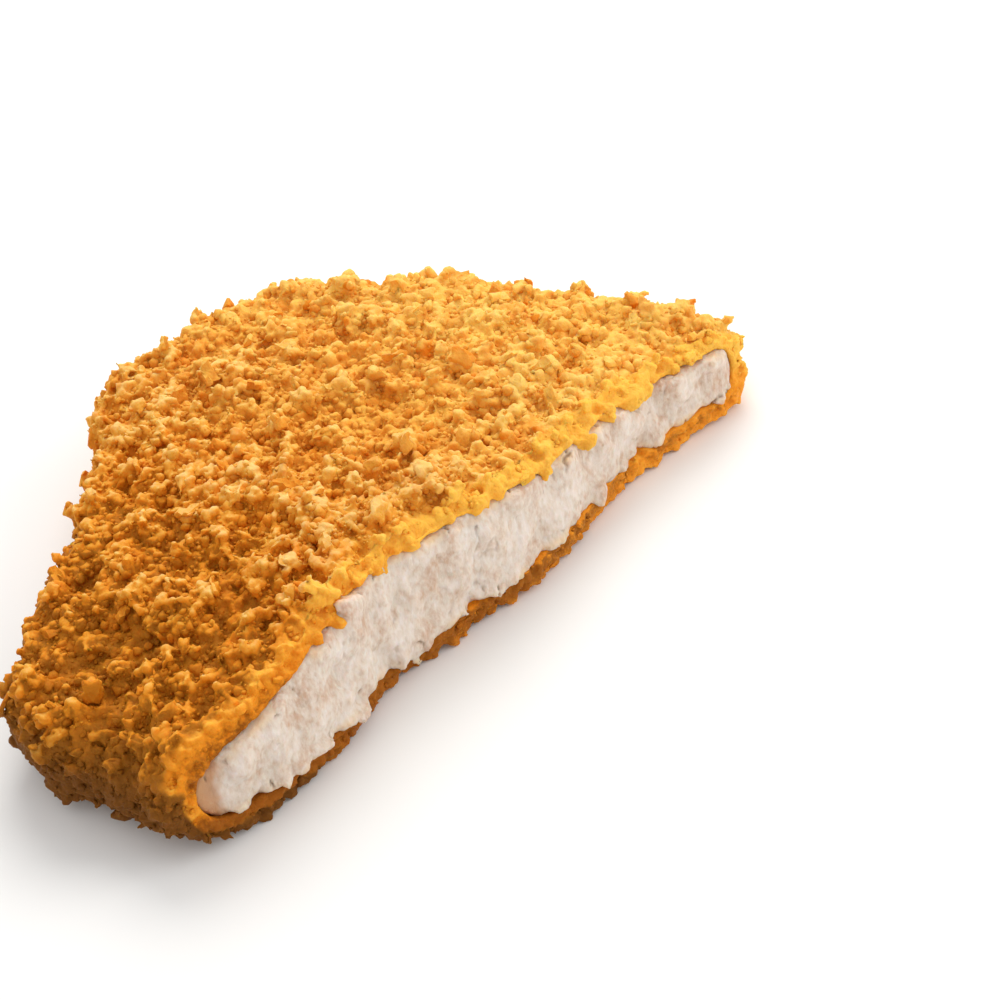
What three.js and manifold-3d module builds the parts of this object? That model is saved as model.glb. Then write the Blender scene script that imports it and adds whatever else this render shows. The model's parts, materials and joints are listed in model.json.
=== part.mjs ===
// A breaded schnitzel that has been cut across: the half that stays on the board, lying on its
// underside with the cut facing -Y. Two pieces: the crumb coating, a pocket that is open at the cut,
// and the white meat that fills it and shows there.
// Millimetres, +Z up. X runs along the cut, Y away from it. The origin ends up under the middle.

import * as THREE from 'three';
import { mergeVertices } from 'three/addons/utils/BufferGeometryUtils.js';
import { ImprovedNoise } from 'three/addons/math/ImprovedNoise.js';
import Module from 'manifold-3d';

const wasm = await Module();
wasm.setup();

// ---------------------------------------------------------------- driving dimensions

// Plan of the slab. The cut is the line y = 0; the last three points close the outline beyond it.
const OUTLINE = [
  [46, 1], [44.2, 14], [38.8, 29.6], [30, 44.6], [19.6, 54.8], [8.2, 58.8],
  [-1.8, 58.4], [-8.4, 54.2], [-16.4, 45.8], [-28.4, 36.4], [-43.2, 29], [-48, 18.6],
  [-46, 9], [-44.8, 1], [-38, -12], [0, -20], [38, -12],
];
const MIDDLE = new THREE.Vector2(-0.8, 31);

// Thickness over all: a rim of even height, and a crown that is highest at the cut.
const RIM_THICKNESS = 9.6;
const CROWN = { rise: 7.6, x: -15, reachLeft: 25, reachRight: 40, reachBack: 52 };
const RIM_DEPTH = 4.6;

const COATING = 2.1;
const FIT_GAP = 0.3;

// Crumbs that stand out of the coating.
const CRUMB = { spacing: 2.7, radiusMin: 1.7, radiusMax: 3.2, rise: 0.62 };
const SWELL = { length: 13, height: 0.5 };
const UNDERSIDE_SEAT = 0.95;
const SEAT_RADIUS = 15;

// Size of the facets.
const FACET = { crust: 1.8, underside: 3.4, inside: 4.6, meatCut: 1.35, coatingCut: 1.8 };
const JITTER = 0.22;

// The cut: it sways a little along its length. The lip of the top coating is ragged and worn back,
// and the bottom coating stands out as a ragged ledge.
const SWAY = { depth: 1.1, length: 39, crest: 27 };
const LIP = { rag: 0.9, length: 5.5, wornBack: 1.0 };
const LEDGE = { reach: 0.8, low: 2.0, high: 4.0, rag: 0.8, length: 6 };
const MEAT_SETBACK = -0.1;
const MEAT_LUMP = { width: 3.1, height: 4.6, depth: 1.7 };
const MEAT_FIBRE = { width: 1.5, height: 5.5, depth: 0.9 };
const CUTTER = { halfWidth: 52, back: -30, bottom: -3, top: 24 };

// ---------------------------------------------------------------- helpers

const noise = new ImprovedNoise();

function seededRandom(seed) {
  let state = seed;
  return () => {
    state = (state + 0x6d2b79f5) | 0;
    let mixed = Math.imul(state ^ (state >>> 15), 1 | state);
    mixed = (mixed + Math.imul(mixed ^ (mixed >>> 7), 61 | mixed)) ^ mixed;
    return ((mixed ^ (mixed >>> 14)) >>> 0) / 4294967296;
  };
}

function bell(distance) {
  return Math.exp(-distance * distance);
}

function toManifold(geometry) {
  geometry.deleteAttribute('normal');
  geometry.deleteAttribute('uv');
  const merged = mergeVertices(geometry, 1e-5);
  return new wasm.Manifold(new wasm.Mesh({
    numProp: 3,
    vertProperties: new Float32Array(merged.attributes.position.array),
    triVerts: new Uint32Array(merged.index.array),
  }));
}

function toGeometry(manifold) {
  const mesh = manifold.getMesh();
  const geometry = new THREE.BufferGeometry();
  geometry.setAttribute('position', new THREE.BufferAttribute(mesh.vertProperties, 3));
  geometry.setIndex(new THREE.BufferAttribute(mesh.triVerts, 1));
  return geometry;
}

// ---------------------------------------------------------------- the slab

const outlineCurve = new THREE.CatmullRomCurve3(
  OUTLINE.map(([x, y]) => new THREE.Vector3(x, y, 0)), true, 'centripetal');
const OUTLINE_LENGTH = outlineCurve.getLength();

function thicknessAt(x, y) {
  const reach = x < CROWN.x ? CROWN.reachLeft : CROWN.reachRight;
  return RIM_THICKNESS + CROWN.rise * bell((x - CROWN.x) / reach) * bell(y / CROWN.reachBack);
}

// One ring of points round the slab. turn runs from 90 degrees on the flat top, over 0 at the rim's
// widest, to -90 on the flat underside; shrink draws the ring in towards the middle, and phase is
// how many steps its first point is along.
function ringPoints({ turn, shrink, count, phase }, inset) {
  const depth = RIM_DEPTH - inset;
  const drawnIn = inset + depth * (1 - Math.cos(turn));
  const points = [];
  for (let i = 0; i < count; i++) {
    const edge = outlineCurve.getPointAt((i + phase) / count);
    const outward = new THREE.Vector2(edge.x, edge.y).sub(MIDDLE);
    const reach = outward.length();
    outward.multiplyScalar((1 - drawnIn / reach) * shrink).add(MIDDLE);
    const thickness = thicknessAt(outward.x, outward.y);
    const half = thickness / 2 - inset;
    points.push(new THREE.Vector3(outward.x, outward.y, thickness / 2 + half * Math.sin(turn)));
  }
  return points;
}

// The rings of a slab from the middle of its top to the middle of its underside.
function ringPlan(topFacet, undersideFacet) {
  const flatReach = OUTLINE_LENGTH / (2 * Math.PI);
  const flatRings = (facet) => Math.round(flatReach / facet);
  const countFor = (shrink, facet) => Math.max(6, Math.round(OUTLINE_LENGTH * shrink / facet));
  const rings = [];
  for (let k = 1, n = flatRings(topFacet); k < n; k++) {
    rings.push({ turn: Math.PI / 2, shrink: k / n, count: countFor(k / n, topFacet) });
  }
  const rimRings = Math.max(4, Math.round(Math.PI * RIM_THICKNESS / 2 / topFacet));
  for (let k = 0; k <= rimRings; k++) {
    const turn = Math.PI * (0.5 - k / rimRings);
    rings.push({ turn, shrink: 1, count: countFor(1, topFacet) });
  }
  for (let n = flatRings(undersideFacet), k = n - 1; k > 0; k--) {
    rings.push({ turn: -Math.PI / 2, shrink: k / n, count: countFor(k / n, undersideFacet) });
  }
  rings.forEach((ring, k) => { ring.phase = (k % 2) / 2; });
  return rings;
}

// Joins two rings of unlike counts with a strip of triangles, always stepping on the one behind.
function stitch(upper, lower, triangles) {
  let i = 0;
  let j = 0;
  while (i < upper.count || j < lower.count) {
    const u = upper.first + i % upper.count;
    const l = lower.first + j % lower.count;
    const upperNext = (i + 1 + upper.phase) / upper.count;
    const lowerNext = (j + 1 + lower.phase) / lower.count;
    if (j === lower.count || (i < upper.count && upperNext <= lowerNext)) {
      i++;
      triangles.push(u, l, upper.first + i % upper.count);
    } else {
      j++;
      triangles.push(u, l, lower.first + j % lower.count);
    }
  }
}

// A closed slab with the schnitzel's outline and crown, drawn in by inset all over.
function slabGeometry(inset, topFacet, undersideFacet) {
  const points = [];
  const triangles = [];
  const rings = ringPlan(topFacet, undersideFacet).map((ring) => {
    const first = points.length;
    points.push(...ringPoints(ring, inset));
    return { first, count: ring.count, phase: ring.phase };
  });
  for (let k = 0; k + 1 < rings.length; k++) {
    stitch(rings[k], rings[k + 1], triangles);
  }
  const topMiddle = points.length;
  const thickness = thicknessAt(MIDDLE.x, MIDDLE.y);
  points.push(new THREE.Vector3(MIDDLE.x, MIDDLE.y, thickness - inset));
  points.push(new THREE.Vector3(MIDDLE.x, MIDDLE.y, inset));
  const inner = rings[0];
  const last = rings[rings.length - 1];
  for (let i = 0; i < inner.count; i++) {
    triangles.push(topMiddle, inner.first + i, inner.first + (i + 1) % inner.count);
  }
  for (let i = 0; i < last.count; i++) {
    triangles.push(topMiddle + 1, last.first + (i + 1) % last.count, last.first + i);
  }
  const geometry = new THREE.BufferGeometry().setFromPoints(points);
  geometry.setIndex(triangles);
  geometry.computeVertexNormals();
  return geometry;
}

// ---------------------------------------------------------------- crumbs

// Crumb places: facet corners in a random order, each kept if it is clear of those before it.
function scatterCrumbs(corners, random) {
  const order = corners.map((corner) => [random(), corner]).sort((a, b) => a[0] - b[0]);
  const crumbs = [];
  for (const [, centre] of order) {
    if (crumbs.every((crumb) => crumb.centre.distanceTo(centre) > CRUMB.spacing)) {
      const radius = THREE.MathUtils.lerp(CRUMB.radiusMin, CRUMB.radiusMax, random() ** 1.6);
      crumbs.push({ centre, radius, height: radius * CRUMB.rise });
    }
  }
  return crumbs;
}

function crumbHeight(place, crumbs) {
  let height = 0;
  for (const crumb of crumbs) {
    const apart = place.distanceTo(crumb.centre) / crumb.radius;
    if (apart < 1) {
      height = Math.max(height, crumb.height * Math.sqrt(1 - apart * apart));
    }
  }
  return height;
}

// Raises the crumbs out of a plain slab. Underneath they are pressed flat against what it lies on.
function crumb(geometry) {
  const random = seededRandom(41);
  const position = geometry.attributes.position;
  const corners = [];
  for (let i = 0; i < position.count; i++) {
    corners.push(new THREE.Vector3().fromBufferAttribute(position, i));
  }
  const crumbs = scatterCrumbs(corners, random);
  const normal = new THREE.Vector3();
  for (let i = 0; i < position.count; i++) {
    const place = corners[i].clone();
    normal.fromBufferAttribute(geometry.attributes.normal, i);
    const swell = SWELL.height * noise.noise(place.x / SWELL.length, place.y / SWELL.length, 3.3);
    place.addScaledVector(normal, crumbHeight(place, crumbs) + swell * Math.abs(normal.z));
    place.x += (random() - 0.5) * 2 * JITTER * FACET.crust;
    place.y += (random() - 0.5) * 2 * JITTER * FACET.crust;
    const seated = Math.hypot(corners[i].x - MIDDLE.x, corners[i].y - MIDDLE.y) < SEAT_RADIUS;
    const lowest = -UNDERSIDE_SEAT;
    place.z = seated && normal.z < -0.9 ? lowest : Math.max(place.z, lowest);
    position.setXYZ(i, place.x, place.y, place.z);
  }
  return geometry;
}

// ---------------------------------------------------------------- the cut

// A block over everything in front of the cut, whose back face follows depthAt(x, z).
function cutterGeometry(facet, depthAt) {
  const width = 2 * CUTTER.halfWidth;
  const height = CUTTER.top - CUTTER.bottom;
  const depth = -CUTTER.back;
  const columns = Math.round(width / facet);
  const rows = Math.round(height / facet);
  const block = new THREE.BoxGeometry(width, depth, height, columns, 1, rows);
  block.translate(0, CUTTER.back / 2, (CUTTER.top + CUTTER.bottom) / 2);
  const position = block.attributes.position;
  for (let i = 0; i < position.count; i++) {
    if (position.getY(i) > CUTTER.back / 2) {
      position.setY(i, depthAt(position.getX(i), position.getZ(i)));
    }
  }
  return block;
}

function sway(x) {
  return SWAY.depth * Math.cos(2 * Math.PI * (x - SWAY.crest) / SWAY.length);
}

// How far back the coating is cut: its ledge low down, its lip above.
function coatingCutDepth(x, z) {
  const { lerp, smoothstep } = THREE.MathUtils;
  const top = thicknessAt(x, 0);
  const worn = LIP.wornBack * smoothstep(z, top - COATING, top + COATING);
  const lip = worn + LIP.rag * noise.noise(x / LIP.length, z / LIP.length, 7.1);
  const ledge = -LEDGE.reach + LEDGE.rag * noise.noise(x / LEDGE.length, 1.7, 0.4);
  return sway(x) + lerp(ledge, lip, smoothstep(z, LEDGE.low, LEDGE.high));
}

// Positive is into the meat: lumps of torn fibre with gaps between them.
function meatCutDepth(x, z) {
  const lump = noise.noise(x / MEAT_LUMP.width, z / MEAT_LUMP.height, 11.6);
  const fibre = noise.noise(x / MEAT_FIBRE.width, z / MEAT_FIBRE.height, 5.2);
  return sway(x) + MEAT_SETBACK + MEAT_LUMP.depth * lump + MEAT_FIBRE.depth * fibre;
}

// ---------------------------------------------------------------- the pieces

function coating() {
  const crust = toManifold(crumb(slabGeometry(0, FACET.crust, FACET.underside)));
  const pocket = toManifold(slabGeometry(COATING, FACET.inside, FACET.inside));
  const cutter = toManifold(cutterGeometry(FACET.coatingCut, coatingCutDepth));
  return toGeometry(crust.subtract(pocket).subtract(cutter));
}

function meat() {
  const filling = toManifold(slabGeometry(COATING + FIT_GAP, FACET.inside, FACET.inside));
  const cutter = toManifold(cutterGeometry(FACET.meatCut, meatCutDepth));
  return toGeometry(filling.subtract(cutter));
}

function namedMesh(name, geometry, colour, roughness) {
  const material = new THREE.MeshStandardMaterial({ color: colour, roughness, metalness: 0, flatShading: true });
  const mesh = new THREE.Mesh(geometry, material);
  mesh.name = name;
  return mesh;
}

const schnitzel = new THREE.Group();
schnitzel.add(namedMesh('crumb_coating', coating(), 0xd4882f, 0.62));
schnitzel.add(namedMesh('meat', meat(), 0xdfccb8, 0.5));

// The origin goes under the middle of the half, at the height that it rests on.
const extent = new THREE.Box3().setFromObject(schnitzel, true);
const centre = extent.getCenter(new THREE.Vector3());
schnitzel.position.set(-centre.x, -centre.y, -extent.min.z);

export default schnitzel;
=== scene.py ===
"""The cut half of a breaded schnitzel: a fried crust with loose crumbs on it, open at the cut, and
the torn white meat that shows there, on a pale floor under soft light."""

import json
import math
import random
from contextlib import contextmanager
from functools import partial

import bpy
from mathutils import Matrix, Vector

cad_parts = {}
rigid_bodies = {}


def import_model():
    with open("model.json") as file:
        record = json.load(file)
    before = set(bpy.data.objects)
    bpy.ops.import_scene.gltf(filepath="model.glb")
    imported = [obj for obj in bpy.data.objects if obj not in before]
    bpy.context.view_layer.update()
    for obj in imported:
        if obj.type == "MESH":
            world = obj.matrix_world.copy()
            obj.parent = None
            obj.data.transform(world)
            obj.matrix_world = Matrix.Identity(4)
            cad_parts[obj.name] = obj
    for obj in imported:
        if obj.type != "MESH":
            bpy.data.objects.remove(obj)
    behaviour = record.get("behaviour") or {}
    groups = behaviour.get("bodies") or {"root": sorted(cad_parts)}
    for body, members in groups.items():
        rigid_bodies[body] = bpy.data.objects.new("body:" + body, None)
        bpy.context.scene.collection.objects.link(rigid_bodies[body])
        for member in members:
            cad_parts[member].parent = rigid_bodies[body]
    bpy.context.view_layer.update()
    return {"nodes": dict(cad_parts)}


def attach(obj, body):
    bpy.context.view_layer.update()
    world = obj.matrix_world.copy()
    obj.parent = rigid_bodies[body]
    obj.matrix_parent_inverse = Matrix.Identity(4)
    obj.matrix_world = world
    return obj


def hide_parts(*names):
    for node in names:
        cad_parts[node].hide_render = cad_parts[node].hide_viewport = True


bl_info = {
    "name": "Cut schnitzel",
    "version": (1, 0, 0),
    "blender": (4, 5, 0),
    "location": "3D View > Sidebar > Schnitzel",
    "description": "Crust, crumbs and torn meat for the cut half of a breaded schnitzel",
    "category": "Add Mesh",
}

MM = 0.001
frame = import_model()

# The middle of the cut, on the floor, and how the cut sways off its straight line along X.
CUT_MIDDLE = Vector((0.547, -29.08, 0.0)) * MM
CUT_SWAY = {"depth": 1.1 * MM, "length": 39 * MM, "crest": 27 * MM + CUT_MIDDLE.x}

# Attributes that the pieces carry for each other and for the materials. The crust's material turns rise,
# crest and heap into painted shade and light: darker down in gaps and low by the meat, paler on tips and
# heaps.
ROOM = "crumb_room"      # how freely crumbs stand here, 0 to 1
HILL = "crumb_hill"      # how far this is up a hill of the crust, 0 to 1
RISE = "crumb_rise"      # height over the base of the crust, 0 to 1
TONE = "crumb_tone"      # one random value for each crumb
LIP = "lip_room"         # how freely crumbs hang over the meat here, 0 to 1
EDGE = "cut_edge"        # right at the cut, 0 to 1
NEAR = "cut_side"        # nearness to the cut over a wider strip, 0 to 1
WORN = "worn_smooth"     # where no large crumbs stand, 0 to 1
HIDDEN = "out_of_sight"  # 1 inside the pocket, where the meat fills it
CRACK = "meat_crack"     # thin cracks in the meat, 0 to 1
SHRED = "shred_room"     # how freely shreds of meat hang here, 0 to 1
CREST = "crumb_crest"    # height over the crust close by: above 0 on tips, below 0 in gaps
HEAP = "crumb_heap"      # the same over a wider stretch: above 0 on heaps, below 0 in valleys
GAP = "gap_room"         # how freely fine crumbs lie here, down between the lumps, 0 to 1
OILED = "meat_oiled"     # where the meat took up frying oil, 0 to 1

# Distances off the meat between which the rise of the crust goes from 0 to 1, in millimetres.
RISE_SPAN = (0.3, 4.6)

# Triangles in the whole crust, so that each of its halves stays under 200,000.
CRUST_TRIANGLES = 390000

# Shares of the faces that stay where they don't show: in the pocket, and on the underside, which is
# all that lies lower than this height.
POCKET_SHARE = 0.06
UNDERSIDE_SHARE = 0.08
UNDERSIDE = 0.15 * MM

# The halves of the crust part across this direction, with as many faces on either side.
PARTING = Vector((0.9, 0.44, 0.0))

# How deep light goes into the crust and into each kind of loose crumb.
GLOW = {
    "fried_crust": 0.5 * MM, "crumb_flakes": 0.35 * MM, "crumb_small": 0.1 * MM, "crumb_grit": 0.1 * MM}

# Fingers of meat at the cut: place along it, height, length and width in mm, and lean in degrees.
FINGERS = (
    (-11.9, 4.0, 4.8, 1.9, 60), (-6.4, 4.6, 4.2, 1.8, 70), (-21.3, 2.9, 4.2, 2.8, 25),
    (-18.0, 16.4, 2.8, 2.2, 10))

# How far behind the cut the meat is made of finer faces.
FINE_STRIP = 2.2 * MM


# ---------- settings

def length(name, description, size):
    """A length to set, with its default in millimetres."""
    return bpy.props.FloatProperty(name=name, description=description, default=size * MM, unit="LENGTH")


def tint(name, description, srgb_hex):
    """A colour to set."""
    return bpy.props.StringProperty(name=name, description=description + ", sRGB hex", default=srgb_hex)


class CrumbSettings(bpy.types.PropertyGroup):
    """Sizes of the coating and of the crumbs on it."""

    bed_voxel: length("Bed grain", "Facet size of the bed of coating", 0.4)
    bed_drop: length("Bed drop", "How far the bed lies below the crumb tips", 1.1)
    heap_radius: length("Heap radius", "Half width of a large heap of crumb", 2.15)
    crust_voxel: length("Crust grain", "Facet size of the finished crust", 0.3)
    clump_radius: length("Clump radius", "Half width of a clump", 1.5)
    overhang_radius: length("Overhang radius", "Half width of a clump that hangs over the meat", 1.3)
    nugget_radius: length("Nugget radius", "Half width of a middling crumb", 0.95)
    flake_radius: length("Flake radius", "Half width of a flat chip", 1.1)
    crumb_radius: length("Crumb radius", "Half width of a small crumb", 0.5)
    grit_radius: length("Grit radius", "Half width of the finest crumb", 0.27)


class MeatSettings(bpy.types.PropertyGroup):
    """Sizes of the torn meat at the cut."""

    voxel: length("Meat grain", "Facet size of the meat", 0.5)
    clump_depth: length("Clump depth", "How far clumps of fibre stand out", 0.45)
    fibre_depth: length("Fibre depth", "How far single fibres stand out", 0.16)


class FinishSettings(bpy.types.PropertyGroup):
    """Colours of the food."""

    # The deep crumb colour also carries painted shade in the gaps, and the pale and palest ones painted
    # light on tips and at the paler end.
    crumb_deep_and_shaded: tint("Deep crumb", "Crumb down in the gaps", "B46E12")
    crumb_mid: tint("Crumb", "Most of the crumb", "DE8610")
    crumb_pale_and_lit: tint("Pale crumb", "Tips of the crumbs", "E9A238")
    crumb_palest: tint("Palest crumb", "Crumb that has hardly browned", "EFC276")
    crumb_toasted: tint("Toasted crumb", "Crumb that has browned more", "E28618")
    crumb_golden_and_lit: tint("Golden crumb", "Tint of the yellower end", "FBC860")
    crumb_browned_and_shaded: tint("Browned crumb", "Low side of the browner end", "70420E")
    lip_deep_and_shaded: tint("Cut edge at the meat", "Coating against the meat", "98540E")
    lip: tint("Cut edge", "Fat-soaked coating at the cut", "F0921A")
    lip_pale: tint("Crumb at the cut edge", "Fat-soaked crumb at the cut", "FFBF4A")
    meat: tint("Meat", "Most of the meat", "DCCCBC")
    meat_pale: tint("Pale meat", "Palest fibres", "E6DAD0")
    meat_rosy: tint("Rosy meat", "Pinker parts of the meat", "C8A890")
    meat_oiled: tint("Oiled meat", "Shreds of meat that took up oil", "E6C08A")
    meat_corner: tint("Meat at the corner", "Thin translucent meat at the end", "BC885C")
    # The cracks take this colour as painted shade, and the pores take it too.
    meat_crack_shade_and_pores: tint("Meat gaps", "Cracks between the fibres", "9A7654")


def cut_line(x):
    """Where the cut is, in Y, at this place along it."""
    turn = 2 * math.pi * (x - CUT_SWAY["crest"]) / CUT_SWAY["length"]
    return CUT_MIDDLE.y + CUT_SWAY["depth"] * math.cos(turn)


# ---------- modelling helpers

def activate(obj):
    bpy.ops.object.select_all(action="DESELECT")
    obj.select_set(True)
    bpy.context.view_layer.objects.active = obj


@contextmanager
def edit_mode():
    """Edit mode, for as long as the lines inside it run."""
    bpy.ops.object.mode_set(mode="EDIT")
    yield
    bpy.ops.object.mode_set(mode="OBJECT")


def pick_faces(obj, wanted):
    """Selects the faces that are wanted, and nothing else, for edit mode."""
    activate(obj)
    with edit_mode():
        bpy.ops.mesh.select_mode(type="FACE")
        bpy.ops.mesh.select_all(action="DESELECT")
    for polygon in obj.data.polygons:
        polygon.select = wanted(polygon)


def finish_modifier(obj, kind, **settings):
    """Adds one modifier and applies it."""
    activate(obj)
    modifier = obj.modifiers.new(kind.lower(), kind)
    for key, value in settings.items():
        setattr(modifier, key, value)
    bpy.ops.object.modifier_apply(modifier=modifier.name)


def smooth(obj, times):
    finish_modifier(obj, "SMOOTH", factor=0.5, iterations=times)


def copy_of_solid(node, name):
    """A new object with the solid's form, its loose triangles joined up."""
    piece = bpy.data.objects.new(name, frame["nodes"][node].data.copy())
    bpy.context.scene.collection.objects.link(piece)
    piece.data.materials.clear()
    activate(piece)
    with edit_mode():
        bpy.ops.mesh.select_all(action="SELECT")
        bpy.ops.mesh.remove_doubles(threshold=0.001 * MM)
    return piece


def settle(obj):
    """Puts the object's place, turn and size into its mesh."""
    activate(obj)
    bpy.ops.object.transform_apply(location=True, rotation=True, scale=True)


def joined(pieces):
    """Joins the pieces into the first of them."""
    activate(pieces[0])
    for piece in pieces:
        piece.select_set(True)
    bpy.ops.object.join()
    return pieces[0]


def fused(pieces, voxel):
    """Grows the pieces together into the first of them."""
    whole = joined(pieces)
    settle(whole)
    finish_modifier(whole, "REMESH", mode="VOXEL", voxel_size=voxel)
    return whole


def roughen(obj, size, depth, rng):
    """Pushes the surface in and out with lumps of about this size."""
    texture = bpy.data.textures.new("lumps", "CLOUDS")
    texture.noise_scale = size
    bpy.ops.object.empty_add(location=[rng.uniform(-9, 9) for _ in range(3)])
    guide = bpy.context.object
    bpy.context.view_layer.update()
    finish_modifier(
        obj, "DISPLACE", texture=texture, strength=depth, mid_level=0.5,
        texture_coords="OBJECT", texture_coords_object=guide)
    bpy.data.objects.remove(guide)


def simplify(obj, faces):
    """Brings the mesh down to about this many triangles."""
    finish_modifier(obj, "TRIANGULATE")
    finish_modifier(obj, "DECIMATE", ratio=min(1.0, faces / len(obj.data.polygons)))


def thin_out(obj, chosen, share):
    """Keeps only this share of the faces whose corners are all chosen."""
    pick_faces(obj, lambda polygon: all(chosen[index] for index in polygon.vertices))
    with edit_mode():
        bpy.ops.mesh.decimate(ratio=share)


# ---------- node helpers

def colour(srgb_hex):
    """Linear colour from an sRGB hex value."""
    channels = [int(srgb_hex[i:i + 2], 16) / 255 for i in (0, 2, 4)]
    linear = [c / 12.92 if c <= 0.04045 else ((c + 0.055) / 1.055) ** 2.4 for c in channels]
    return (*linear, 1.0)


def add_node(tree, kind, inputs=None, **settings):
    """A node with its settings, and its inputs set to values or linked to sockets."""
    node = tree.nodes.new(kind)
    for key, value in settings.items():
        setattr(node, key, value)
    for key, value in (inputs or {}).items():
        if isinstance(value, bpy.types.NodeSocket):
            tree.links.new(value, node.inputs[key])
        else:
            node.inputs[key].default_value = value
    return node


def combine(tree, operation, a, b=0.0, c=0.0):
    return add_node(tree, "ShaderNodeMath", {0: a, 1: b, 2: c}, operation=operation).outputs[0]


def total(tree, start, *parts):
    """The start plus every part. A part may be a pair of a value and its weight."""
    for part in parts:
        if isinstance(part, tuple):
            start = combine(tree, "MULTIPLY_ADD", *part, start)
        else:
            start = combine(tree, "ADD", start, part)
    return start


def product(tree, start, *factors):
    for factor in factors:
        start = combine(tree, "MULTIPLY", start, factor)
    return start


def combine_vectors(tree, operation, *vectors):
    """A vector made of others, or the number that is their dot product."""
    node = add_node(tree, "ShaderNodeVectorMath", dict(enumerate(vectors)), operation=operation)
    return node.outputs["Value" if operation == "DOT_PRODUCT" else "Vector"]


def split(tree, vector):
    return add_node(tree, "ShaderNodeSeparateXYZ", {"Vector": vector}).outputs


def ramped(tree, value, low, high, interpolation="SMOOTHSTEP"):
    """0 below low, 1 above high. low may be the greater, which turns it round."""
    return add_node(
        tree, "ShaderNodeMapRange", {"Value": value, "From Min": low, "From Max": high},
        interpolation_type=interpolation).outputs["Result"]


def ramped_mm(tree, distance, low, high):
    """The same for a distance, with low and high in millimetres."""
    return ramped(tree, distance, low * MM, high * MM)


def grain(tree, place, size, detail=2.0, roughness=0.5):
    """Noise with features of this size, in metres."""
    return add_node(
        tree, "ShaderNodeTexNoise",
        {"Vector": place, "Scale": 1 / size, "Detail": detail, "Roughness": roughness}).outputs["Fac"]


def warped(tree, place, size, reach):
    """The place, pushed about by noise, so that cells made on it aren't even."""
    push = add_node(tree, "ShaderNodeTexNoise", {"Vector": place, "Scale": 1 / size}).outputs["Color"]
    centred = combine_vectors(tree, "SUBTRACT", push, (0.5, 0.5, 0.5))
    return combine_vectors(tree, "MULTIPLY_ADD", centred, (2 * reach,) * 3, place)


def cells(tree, place, size, feature="F1"):
    """Distance from the middles of cells of this size, in cell widths, and a random colour a cell."""
    node = add_node(tree, "ShaderNodeTexVoronoi", {"Vector": place, "Scale": 1 / size}, feature=feature)
    return node.outputs["Distance"], node.outputs["Color"]


def domes(tree, distance, depth):
    """Height of rounded lumps with sharp gaps between them, from the distance to their middles."""
    return total(tree, 0.35 * depth, (product(tree, distance, distance), -1.6 * depth))


def colour_ramp(tree, factor, stops):
    ramp = add_node(tree, "ShaderNodeValToRGB", {"Fac": factor})
    elements = ramp.color_ramp.elements
    while len(elements) < len(stops):
        elements.new(0.5)
    for element, (place, value) in zip(elements, stops):
        element.position = place
        element.color = colour(value)
    return ramp.outputs["Color"]


def mixed(tree, factor, a, b):
    return add_node(tree, "ShaderNodeMix", {"Factor": factor, 6: a, 7: b}, data_type="RGBA").outputs[2]


# ---------- materials

def new_material(name):
    material = bpy.data.materials.new(name)
    material.use_nodes = True
    material.node_tree.nodes.clear()
    return material, material.node_tree


def attribute_value(tree, name):
    return add_node(tree, "ShaderNodeAttribute", attribute_name=name).outputs["Fac"]


def bumped(tree, height, depth):
    """The normal of a surface with this relief, in metres."""
    return add_node(
        tree, "ShaderNodeBump", {"Height": height, "Strength": 0.9, "Distance": depth}).outputs["Normal"]


def surfaced(tree, inputs):
    """Ends a material with a surface that has these inputs."""
    shader = add_node(tree, "ShaderNodeBsdfPrincipled", inputs)
    add_node(tree, "ShaderNodeOutputMaterial", {"Surface": shader.outputs["BSDF"]})


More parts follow.
